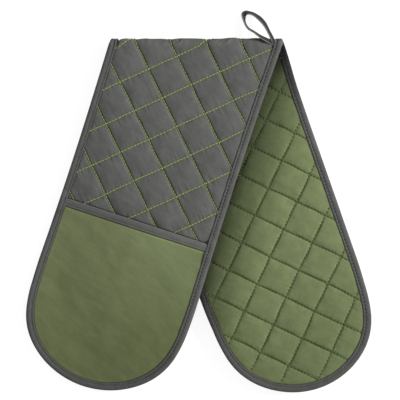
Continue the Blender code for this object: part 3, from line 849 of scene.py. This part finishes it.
class Finish:
    """A material and the nodes that make it."""

    def __init__(self, name):
        self.material = bpy.data.materials.new(name)
        self.material.use_nodes = True
        self.tree = self.material.node_tree
        self.tree.nodes.clear()
        self.shader = self.tree.nodes.new("ShaderNodeBsdfPrincipled")
        surface = self.tree.nodes.new("ShaderNodeOutputMaterial")
        self.tree.links.new(self.shader.outputs[0], surface.inputs["Surface"])

    def put(self, socket, value):
        if isinstance(value, Wire):
            self.tree.links.new(value.socket, socket)
        else:
            socket.default_value = value

    def node(self, kind, settings, *values, out=0, **named):
        made = self.tree.nodes.new(kind)
        for key, value in settings.items():
            setattr(made, key, value)
        for socket, value in zip(made.inputs, values):
            self.put(socket, value)
        for key, value in named.items():
            self.put(made.inputs[key], value)
        return Wire(self, made.outputs[out])

    def blend(self, share, low, high):
        made = self.tree.nodes.new("ShaderNodeMix")
        made.data_type = "RGBA"
        self.put(made.inputs[0], share)
        self.put(made.inputs[MIX_LOW], low)
        self.put(made.inputs[MIX_HIGH], high)
        return Wire(self, made.outputs[MIXED])

    def noise(self, where, scale, detail):
        return self.node("ShaderNodeTexNoise", {}, Vector=where, Scale=scale, Detail=detail)

    def map(self, label):
        place = self.node("ShaderNodeUVMap", {"uv_map": label})
        return self.part(place, 0), self.part(place, 1)

    def place(self):
        return self.node("ShaderNodeTexCoord", {}, out="Object")

    def joined(self, x, y, z=0.0):
        return self.node("ShaderNodeCombineXYZ", {}, x, y, z)

    def raised(self, height):
        """Normals for a height in metres."""
        return self.node("ShaderNodeBump", {}, Strength=1.0, Distance=1.0, Height=height)

    def part(self, wire, index):
        made = self.tree.nodes.new("ShaderNodeSeparateXYZ")
        self.put(made.inputs[0], wire)
        return Wire(self, made.outputs[index])

    def finish_with(self, colour, roughness, normal=None):
        self.put(self.shader.inputs["Base Color"], colour)
        self.put(self.shader.inputs["Roughness"], roughness)
        if normal is not None:
            self.put(self.shader.inputs["Normal"], normal)
        self.shader.inputs["Sheen Weight"].default_value = 0.02
        self.shader.inputs["Sheen Roughness"].default_value = 0.6
        self.shader.inputs["Specular IOR Level"].default_value = 0.10
        return self.material


class Backdrop(Finish):
    """The nodes of the space round the table."""

    def __init__(self, world):
        world.use_nodes = True
        self.tree = world.node_tree
        self.shader = self.tree.nodes["Background"]


def seen_rays(f):
    """One for what the camera sees, straight or in a gloss, and none for other light."""
    ray = "ShaderNodeLightPath"
    seen = f.node(ray, {}, out="Is Camera Ray") + f.node(ray, {}, out="Is Glossy Ray")
    seen = seen + f.node(ray, {}, out="Is Transmission Ray")
    return seen.maths("MINIMUM", seen, 1.0)


def tone(red, green, blue):
    """A linear colour from the tones of a display."""

    def linear(v):
        v /= 255
        return v / 12.92 if v <= 0.04045 else ((v + 0.055) / 1.055) ** 2.4

    return (linear(red), linear(green), linear(blue), 1.0)


def shade(colour, share):
    """A darker or a paler colour."""
    return (*(min(c * share, 1.0) for c in colour[:3]), 1.0)


WHITE = (1, 1, 1, 1)
BLACK = (0, 0, 0, 1)
WEAVE = 0.0007
SLUB = 0.12


def weave_of(u, v, thread_size):
    """Warp and weft as a height from -1 to 1."""
    turn = 2 * math.pi / thread_size
    return (u * turn).sine() * (v * turn).sine()


def cotton(f, plain, u, v, blotch=0.45):
    """The colour and the height of plain woven cotton."""
    place = f.joined(u, v)
    weave = weave_of(u, v, WEAVE)
    mottle = f.noise(place, 70.0, 6.0)
    slow = f.noise(place, 14.0, 2.0)
    slubs = f.noise(f.joined(u * SLUB, v), 1400.0, 1.0)
    slubs = slubs + f.noise(f.joined(u, v * SLUB), 1400.0, 1.0)
    share = mottle * blotch + slow * blotch * 0.5 + slubs * 0.15 + weave * 0.05
    middle = 0.75 * blotch + 0.15
    dark, pale = shade(plain, 0.84), shade(plain, 1.13)
    colour = f.blend(share.step(middle - 0.21, middle + 0.21), dark, pale)
    height = weave * 0.00003 + slubs * 0.00006 + mottle * 0.00030
    return colour, height


def quilt_cloth(name, plain, shade_tone, seams, dark_shares, pucker, crush, end_share, mouth_shadow=0.0):
    """Quilted cotton: puckers run off each sewn line, each groove carries its thread's green with
    painted shade on one side and a painted highlight on the other, and painted shadow lies along
    the edge tape and by a pocket's mouth.
    """
    f = Finish(name)
    across, along = f.map("cloth")
    colour, height = cotton(f, plain, across, along)
    counts = f.map("lattice")
    for k in (0, 1):
        way = counts[k].past_whole() * PITCH
        off = way.size()
        place = f.joined(counts[1 - k] * PITCH, counts[k] * PITCH * 0.14, 3.0 * k)
        crease = f.noise(place, 240.0, 3.0) - 0.5
        height = height + crease * off.fall(0.0060) * off.step(0.0, 0.0012) * pucker
        middle, width, share = dark_shares[k]
        # The thread's colour along the groove; on the grey face it is darkened as painted groove
        # shade
        colour = f.blend(way.hump(0.0, width) * share, colour, seams)
        if middle:
            # Painted shade on one side of the groove, and a painted highlight on the other
            colour = f.blend(way.hump(middle, 0.0006) * 0.8, colour, shade_tone)
            painted_highlight = way.hump(-1.6 * middle, 0.0010) * 0.20
            colour = f.blend(painted_highlight, colour, shade(plain, 1.9))
    turned = f.joined(across * 0.70 + along * 0.25, along * 1.1 - across * 0.35)
    height = height + (f.noise(turned, 85.0, 1.5) - 0.5) * crush
    # The rim map: the inset, and the share of painted shade beside the front arm
    inset, shade_mask = f.map("rim")
    # Darker towards the arm's round end, by end_share
    colour = darkened_cloth(f, colour, along.step(0.24, 0.40), WHITE, end_share)
    # Painted shadow along the edge tape's inner edge
    colour = f.blend(1 - inset.step(0.0088, 0.0096), colour, shade_tone)
    # Painted shadow on the grey face just outside a pocket's mouth tape
    if mouth_shadow:
        colour = f.blend(along.hump(MOUTH - 0.0004, 0.0008) * mouth_shadow, colour, shade_tone)
    return f.finish_with(f.blend(shade_mask, colour, shade_tone), 0.90, f.raised(height))


def darkened_cloth(f, colour, darker_share, near, far):
    """The colour, darker by a share, from a near tint to a far one."""
    tint = f.blend(darker_share, near, far)
    return f.node("ShaderNodeVectorMath", {"operation": "MULTIPLY"}, colour, tint)


def panel_cloth(name, plain, shade_tone, pale):
    """Plain cotton of a pocket, with painted shade darker to its end, across to its right and
    where it goes under its tapes, and a painted highlight by its mouth tape.
    """
    f = Finish(name)
    across, along = f.map("cloth")
    colour, height = cotton(f, plain, across, along, 0.20)
    turned = f.joined(across * 0.50 + along * 0.12, along - across * 0.25)
    height = height + (f.noise(turned, 50.0, 2.0) - 0.5) * 0.0016
    # Painted shade: darker towards the pocket's end and across to its right
    darker_share = along.step(MOUTH - 0.02, REACH["front"] + HALF_WIDTH)
    darker_share = darker_share + across.step(-0.01, 0.09) * 0.48
    colour = darkened_cloth(f, colour, darker_share, (1, 0.985, 1, 1), (0.68, 0.685, 0.63, 1))
    inset, _ = f.map("rim")
    edge = MOUTH + MOUTH_BINDING
    # A painted highlight just past the mouth tape
    colour = f.blend(along.hump(edge + 0.0019, 0.0008) * 0.45, colour, pale)
    # Painted shade where the cloth goes under its tapes
    held = inset.step(0.0089, 0.0098) * along.step(edge + 0.0001, edge + 0.0009)
    colour = f.blend(held, shade_tone, colour)
    return f.finish_with(colour, 0.90, f.raised(height))


def tape_cloth(name, plain, shade_tone, seam, streaks):
    """Folded bias tape: wrinkles, a sewn groove with painted shade, painted shadow on its inner
    edge, and darker over the run round the arm's end.
    """
    f = Finish(name)
    run, inset = f.map("cloth")
    slant = run - inset * 0.9
    colour, height = cotton(f, plain, slant, inset + run * 0.9)
    if streaks:
        wrinkle = f.noise(f.joined(run * 0.10, inset), 700.0, 2.0) - 0.5
    else:
        wrinkle = f.noise(f.joined(slant, inset * 0.30), 420.0, 2.0) - 0.5
    broad = f.noise(f.joined(run, inset * 0.5), 130.0, 1.0) - 0.5
    height = height + wrinkle * 0.00045 + broad * 0.00030
    # Darker over the run round the arm's end
    darker_share = run.step(0.30, 0.42) * (1 - run.step(0.52, 0.66))
    colour = darkened_cloth(f, colour, darker_share, WHITE, (0.84, 0.84, 0.82, 1))
    # Painted shade in the sewn groove
    colour = f.blend(inset.hump(seam, 0.00045) * (0.05 if streaks else 0.10), colour, shade_tone)
    # Painted shadow on the tape's inner edge
    colour = f.blend(inset.step(0.0087, 0.0090), colour, shade_tone)
    # Painted shade beside the front arm, from the rim map
    _, shade_mask = f.map("rim")
    return f.finish_with(f.blend(shade_mask, colour, shade_tone), 0.86, f.raised(height))


def loop_tape(name, plain, pale):
    """The loop's folded tape, with a painted highlight along its two rounded edges."""
    f = Finish(name)
    run, off = f.map("cloth")
    colour, height = cotton(f, plain, run, off)
    edge, _ = f.map("rim")
    # Painted highlight on the rounded edges
    colour = f.blend(edge.step(0.60, 0.76), colour, pale)
    wrinkle = f.noise(f.joined(run - off, off * 0.3), 420.0, 2.0) - 0.5
    return f.finish_with(colour, 0.86, f.raised(height + wrinkle * 0.0004))


def thread(name, plain, pale):
    """Twisted thread, with a painted highlight on the crowns of its twist and tone that varies at
    random.
    """
    f = Finish(name)
    place = f.place()
    speck = f.noise(place, 420.0, 1.0)
    twist = f.node("ShaderNodeTexWave", {"bands_direction": "DIAGONAL"}, Vector=place, Scale=900.0)
    colour = f.blend(speck * 0.7 + twist * 0.3, plain, pale)
    return f.finish_with(colour, 0.60, f.raised(twist * 0.00004))


# Each family of lines: where its painted dark side is, and how wide and how strong its green is,
# which on the grey face is the thread's green darkened as painted groove shade
grey_cloth = quilt_cloth(
    "grey_cotton_look", tone(96, 96, 94), tone(30, 31, 28), tone(84, 104, 46),
    ((0.0012, 0.0008, 0.90), (0.0, 0.0010, 0.85)), 0.0022, 0.0011, WHITE, 0.9,
)
green_cloth = quilt_cloth(
    "green_cotton_look", tone(117, 128, 89), tone(26, 30, 18), tone(66, 80, 41),
    ((0.0, 0.0010, 0.16), (0.0, 0.0012, 0.30)), 0.0015, 0.0009, (0.84, 0.845, 0.83, 1),
)
pocket_cloth = panel_cloth(
    "pocket_cotton_look", tone(122, 132, 94), tone(52, 62, 32), tone(146, 158, 102)
)
lining_cloth = panel_cloth(
    "lining_cotton_look", tone(94, 94, 92), tone(50, 50, 49), tone(100, 100, 98)
)
edge_cloth = tape_cloth("grey_tape_look", tone(91, 91, 90), tone(24, 24, 24), TAPE_SEAM, False)
mouth_cloth = tape_cloth("mouth_tape_look", tone(98, 98, 96), tone(50, 56, 40), MOUTH_SEAM, True)
loop_cloth = loop_tape("loop_tape_look", tone(54, 54, 53), tone(128, 128, 126))
# pale_thread is a paler copy of lime_thread, a painted highlight on one family of lines;
# grey_thread is a darker copy of tape_thread, painted shade in the seam's stitches on the right
lime_thread = thread("lime_thread_look", tone(116, 134, 70), tone(152, 168, 104))
pale_thread = thread("pale_thread_look", tone(138, 150, 96), tone(168, 178, 128))
moss_thread = thread("moss_thread_look", tone(64, 78, 41), tone(86, 101, 60))
grey_thread = thread("grey_thread_look", tone(42, 42, 42), tone(58, 58, 58))
tape_thread = thread("tape_thread_look", tone(80, 80, 79), tone(94, 94, 92))


def stitch_sizes(pitch, length, width, height, turn=0.0):
    return {
        "Stitch pitch": pitch, "Stitch length": length, "Thread width": width,
        "Thread height": height, "Stitch turn": turn,
    }


STITCHES = {
    "lime_runs": stitch_sizes(0.0040, 0.0044, 0.0011, 0.0009),
    "lime_dashes": stitch_sizes(0.0040, 0.0047, 0.0011, 0.0009),
    "moss_dots": stitch_sizes(0.0041, 0.0023, 0.0019, 0.0011),
    "moss_runs": stitch_sizes(0.0041, 0.0036, 0.0018, 0.0010),
    "proud": stitch_sizes(0.0041, 0.0028, 0.0012, 0.0007, math.radians(28)),
    "sunk": stitch_sizes(0.0041, 0.0024, 0.0007, 0.0004, math.radians(20)),
    "mouth": stitch_sizes(0.0034, 0.0024, 0.0007, 0.0004),
}


def stitch_tree(name, colour):
    """Nodes that lay stitches along lines, each turned along its line."""
    tree = bpy.data.node_groups.new(name, "GeometryNodeTree")
    sockets = tree.interface
    sockets.new_socket("Geometry", in_out="INPUT", socket_type="NodeSocketGeometry")
    for label, value in stitch_sizes(0.0038, 0.0030, 0.0011, 0.0008).items():
        socket = sockets.new_socket(label, in_out="INPUT", socket_type="NodeSocketFloat")
        socket.default_value = value
    sockets.new_socket("Geometry", in_out="OUTPUT", socket_type="NodeSocketGeometry")
    add = tree.nodes.new
    start = add("NodeGroupInput")
    curve = add("GeometryNodeMeshToCurve")
    spaced = add("GeometryNodeResampleCurve")
    spaced.mode = "LENGTH"
    tangent = add("GeometryNodeInputTangent")
    turned = add("FunctionNodeAlignRotationToVector")
    turned.axis = "X"
    twist = add("ShaderNodeCombineXYZ")
    twisted = add("FunctionNodeRotateRotation")
    twisted.rotation_space = "LOCAL"
    bead = add("GeometryNodeMeshUVSphere")
    bead.inputs["Segments"].default_value = 6
    bead.inputs["Rings"].default_value = 4
    bead.inputs["Radius"].default_value = 0.5
    size = add("ShaderNodeCombineXYZ")
    laid = add("GeometryNodeInstanceOnPoints")
    real = add("GeometryNodeRealizeInstances")
    smooth_faces = add("GeometryNodeSetShadeSmooth")
    coloured = add("GeometryNodeSetMaterial")
    coloured.inputs["Material"].default_value = colour
    end = add("NodeGroupOutput")
    for source, out, target, into in (
        (start, "Geometry", curve, "Mesh"),
        (curve, "Curve", spaced, "Curve"),
        (start, "Stitch pitch", spaced, "Length"),
        (start, "Stitch length", size, "X"),
        (start, "Thread width", size, "Y"),
        (start, "Thread height", size, "Z"),
        (tangent, "Tangent", turned, "Vector"),
        (spaced, "Curve", laid, "Points"),
        (bead, "Mesh", laid, "Instance"),
        (start, "Stitch turn", twist, "Z"),
        (turned, "Rotation", twisted, "Rotation"),
        (twist, "Vector", twisted, "Rotate By"),
        (twisted, "Rotation", laid, "Rotation"),
        (size, "Vector", laid, "Scale"),
        (laid, "Instances", real, "Geometry"),
        (real, "Geometry", smooth_faces, "Geometry"),
        (smooth_faces, "Geometry", coloured, "Geometry"),
        (coloured, "Geometry", end, "Geometry"),
    ):
        tree.links.new(source.outputs[out], target.inputs[into])
    return tree


def sewn(name, runs, colour, sizes):
    """Stitches along runs of points, as a plain mesh."""
    points = []
    edges = []
    for run in runs:
        first = len(points)
        points += [tuple(p) for p in run]
        edges += [(first + k, first + k + 1) for k in range(len(run) - 1)]
    guide = bpy.data.meshes.new(name + "_guide")
    guide.from_pydata(points, edges, [])
    carrier = placed(name + "_guide", guide)
    tree = stitch_tree(name + "_nodes", colour)
    modifier = carrier.modifiers.new("stitches", "NODES")
    modifier.node_group = tree
    for item in tree.interface.items_tree:
        if item.in_out == "INPUT" and item.name in sizes:
            modifier[item.identifier] = sizes[item.name]
    bpy.context.view_layer.update()
    evaluated = carrier.evaluated_get(bpy.context.evaluated_depsgraph_get())
    mesh = bpy.data.meshes.new_from_object(evaluated)
    mesh.name = name
    bpy.data.objects.remove(carrier, do_unlink=True)
    return placed(name, mesh)


# Sewn lines: the step and lift of their thread, how far they go under the edge tape, and the
# depths they run between, on the rear arm's grey face and on the fold's outside as well
LINE_STEP = 0.001
LINE_LIFT = 0.0003
UNDER_TAPE = 0.0006
LINE_START = 0.0008
REAR_LINES = HALF_BEND + 0.003
TURNED_LINES = (-0.8 * HALF_BEND, -0.0010)
LEAST_POINTS = 5


def quilt_runs(arm, side, start, end=1.0):
    """The stitched lines of one face between two depths: one list for each family."""
    families = []
    reach = REACH[arm] + 2 * HALF_WIDTH
    travel = np.arange(-reach, reach, LINE_STEP)
    for k, pitch in enumerate(pitches(arm)):
        runs = []
        for line in range(-int(reach / pitch) - 1, int(reach / pitch) + 2):
            fixed = np.full(len(travel), (line + PHASES[arm][k]) * pitch)
            for _ in range(3):
                first, second = (fixed, travel) if k == 0 else (travel, fixed)
                across, along = crossing(arm, first, second)
                fixed = (line + PHASES[arm][k] - wander(arm, k, across, along)) * pitch
            keep = inset_of(arm, across, along) > RING_INSET - UNDER_TAPE
            keep &= along > -HALF_WIDTH
            depth = depth_of(arm, across, along)
            keep &= (depth > start) & (depth < end)
            if keep.sum() < LEAST_POINTS:
                continue
            height = np.abs(face_height(arm, side, across, along)) - GROOVE
            if end < 0:
                height = height * (1 - smooth(-depth / HALF_BEND))
            height = side * (GROOVE + height + LINE_LIFT)
            runs.append(lay(arm, across, along, height)[keep])
        families.append(runs)
    return families


PROUD_FROM = 0.7
SEAM_SUNK = 0.00008


def edge_runs(arm, side, proud):
    """The seam near the tape's inner edge: it stands proud on the right, and is sunk elsewhere."""
    flat = np.array(round_edge(arm, TAPE_SEAM, 0.0003, 0.002))
    across, along = flat[:, 0], flat[:, 1]
    keep = (across > PROUD_FROM * (HALF_WIDTH - TAPE_SEAM)) == proud
    across, along = across[keep], along[keep]
    seat = grey_seat(along) if side > 0 else SEAT
    height = seat + TAPE - SEAM_SUNK + tape_swell(side, depth_of(arm, across, along))
    return [lay(arm, across, along, side * height)]


def mouth_runs(arm):
    """The seam along the tape of a pocket's mouth."""
    across = np.linspace(-(HALF_WIDTH - RING_INSET), HALF_WIDTH - RING_INSET, 90)
    along = np.full(len(across), MOUTH)
    height = lining_inner(arm, across, along) + STACK + GAP + TAPE - 0.00005
    return [lay(arm, across, along + MOUTH_SEAM, height)]


def paint(piece, material):
    """Gives a piece its material."""
    piece.data.materials.clear()
    piece.data.materials.append(material)


def bend_with(piece):
    """Bakes the piece's place into its mesh."""
    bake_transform(piece)


carried = {
    "rear_grey_quilt": ("rear_grey_cover",),
    "rear_green_quilt": ("rear_green_cover", "rear_wadding", "fold_green_cover"),
    "front_grey_quilt": ("front_grey_cover", "fold_grey_cover", "fold_wadding"),
    "front_green_quilt": ("front_green_cover", "front_wadding"),
}
for arm in ("rear", "front"):
    for side, face, cloth, lines, kinds in (
        (1, "grey", grey_cloth, (lime_thread, pale_thread), ("lime_runs", "lime_dashes")),
        (-1, "green", green_cloth, (moss_thread, moss_thread), ("moss_dots", "moss_runs")),
    ):
        seen = (arm, face) in (("front", "grey"), ("rear", "green"))
        pad = quilted_half(f"{arm}_{face}_quilt", arm, side, FINE_CUTS if seen else PLAIN_CUTS)
        paint(pad, cloth)
        bend_with(pad)
        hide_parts(*carried[pad.name])
        if (arm, face) == ("rear", "grey"):
            lined = quilt_runs(arm, side, REAR_LINES)
            turned = quilt_runs("front", side, *TURNED_LINES)
            lined = [a + b for a, b in zip(lined, turned)]
        else:
            lined = quilt_runs(arm, side, LINE_START)
        for family, runs, line in zip(kinds, lined, lines):
            seams = sewn(f"{arm}_{face}_{family}", runs, line, STITCHES[family])
            bend_with(seams)
        flap = binding_flap(f"{arm}_{face}_edge_tape", arm, side)
        paint(flap, edge_cloth)
        bend_with(flap)
        if side > 0:
            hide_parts(f"{arm}_binding", "fold_binding_left", "fold_binding_right")
        # The edge seam's thread is dark on the right, as painted shade in its stitches, and in the
        # tape's own tone elsewhere
        for kind, line in (("proud", grey_thread), ("sunk", tape_thread)):
            seam = f"{arm}_{face}_{kind}_seam"
            run = edge_runs(arm, side, kind == "proud")
            tape_seam = sewn(seam, run, line, STITCHES[kind])
            bend_with(tape_seam)
    body = f"{arm}_arm"
    panel = pocket_sheet(
        f"{arm}_pocket_cloth", arm,
        lambda a, c, s: lining_inner(a, c, s) + LINING_CLOTH + GAP, PANEL_CLOTH, SEEDS["pocket"],
    )
    inside = f"{arm}_pocket_inside"
    lining = pocket_sheet(inside, arm, lining_inner, LINING_CLOTH, SEEDS["pocket"])
    for sheet, cloth, slot, node in (
        (panel, pocket_cloth, "pocket_cotton", "pocket_panel"),
        (lining, lining_cloth, "lining_cotton", "pocket_lining"),
    ):
        paint(sheet, cloth)
        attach(sheet, body)
        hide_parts(f"{arm}_{node}")
    mouth = mouth_tape(f"{arm}_mouth_tape", arm)
    paint(mouth, mouth_cloth)
    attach(mouth, body)
    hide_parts(f"{arm}_pocket_mouth_binding")
    mouth_seam = sewn(f"{arm}_mouth_seam", mouth_runs(arm), tape_thread, STITCHES["mouth"])
    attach(mouth_seam, body)

loop = hanging_loop("hanging_tape")
paint(loop, loop_cloth)
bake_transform(loop)
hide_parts("hanging_loop", "loop_tail_left", "loop_tail_right")

# The table, the light and the camera: behind the fold the table falls away, which leaves
# room for the front arm when it lies opened out
TABLE_REACH = 3.0
TABLE_FALL = 0.032
FALL_START = 0.232
FALL_RUN = 0.110
shares = np.linspace(0, 1, 13)
steps = [(-TABLE_REACH, 0.0)]
steps += [(FALL_START + FALL_RUN * t, -TABLE_FALL * smooth(t)) for t in shares]
steps += [(TABLE_REACH, -TABLE_FALL)]
corners = [(x, y, z) for y, z in steps for x in (-TABLE_REACH, TABLE_REACH)]
strips = [(2 * k, 2 * k + 1, 2 * k + 3, 2 * k + 2) for k in range(len(steps) - 1)]
floor_mesh = bpy.data.meshes.new("table_top")
floor_mesh.from_pydata(corners, [], strips)
floor_mesh.shade_smooth()
floor = placed("table_top", floor_mesh)
TABLE_GLOW = 0.88
table = Finish("table_look")
glow = table.blend(seen_rays(table), BLACK, WHITE)
table.put(table.shader.inputs["Emission Color"], glow)
table.shader.inputs["Emission Strength"].default_value = TABLE_GLOW
floor_mesh.materials.append(table.finish_with(tone(144, 144, 144), 0.9))

world = bpy.data.worlds.new("studio")
bpy.context.scene.world = world
SKY = 0.46
sky = Backdrop(world)
sky.shader.inputs["Color"].default_value = WHITE
sky.put(sky.shader.inputs["Strength"], SKY + seen_rays(sky) * (1 - SKY))


def soft_box(name, place, target, size, power):
    light = bpy.data.lights.new(name, "AREA")
    light.shape = "SQUARE"
    light.size = size
    light.energy = power
    lamp = placed(name, light)
    lamp.location = place
    lamp.rotation_euler = (Vector(target) - Vector(place)).to_track_quat("-Z", "Y").to_euler()


soft_box("key_box", (4.74, 1.40, 2.58), (0, 0, 0), 1.8, 362.0)

CAMERA_HEIGHT = 3.2
SENSOR = 36.0
SEEN_WIDTH = 0.4552
SEEN_HEIGHT = 0.012
camera_data = bpy.data.cameras.new("camera")
camera = placed("camera", camera_data)
camera_data.sensor_width = SENSOR
camera_data.lens = SENSOR * (CAMERA_HEIGHT - SEEN_HEIGHT) / SEEN_WIDTH
camera_data.clip_end = 20
camera.location = (0.00172, -0.0002, CAMERA_HEIGHT)
bpy.context.scene.camera = camera
bpy.context.scene.view_settings.view_transform = "Standard"
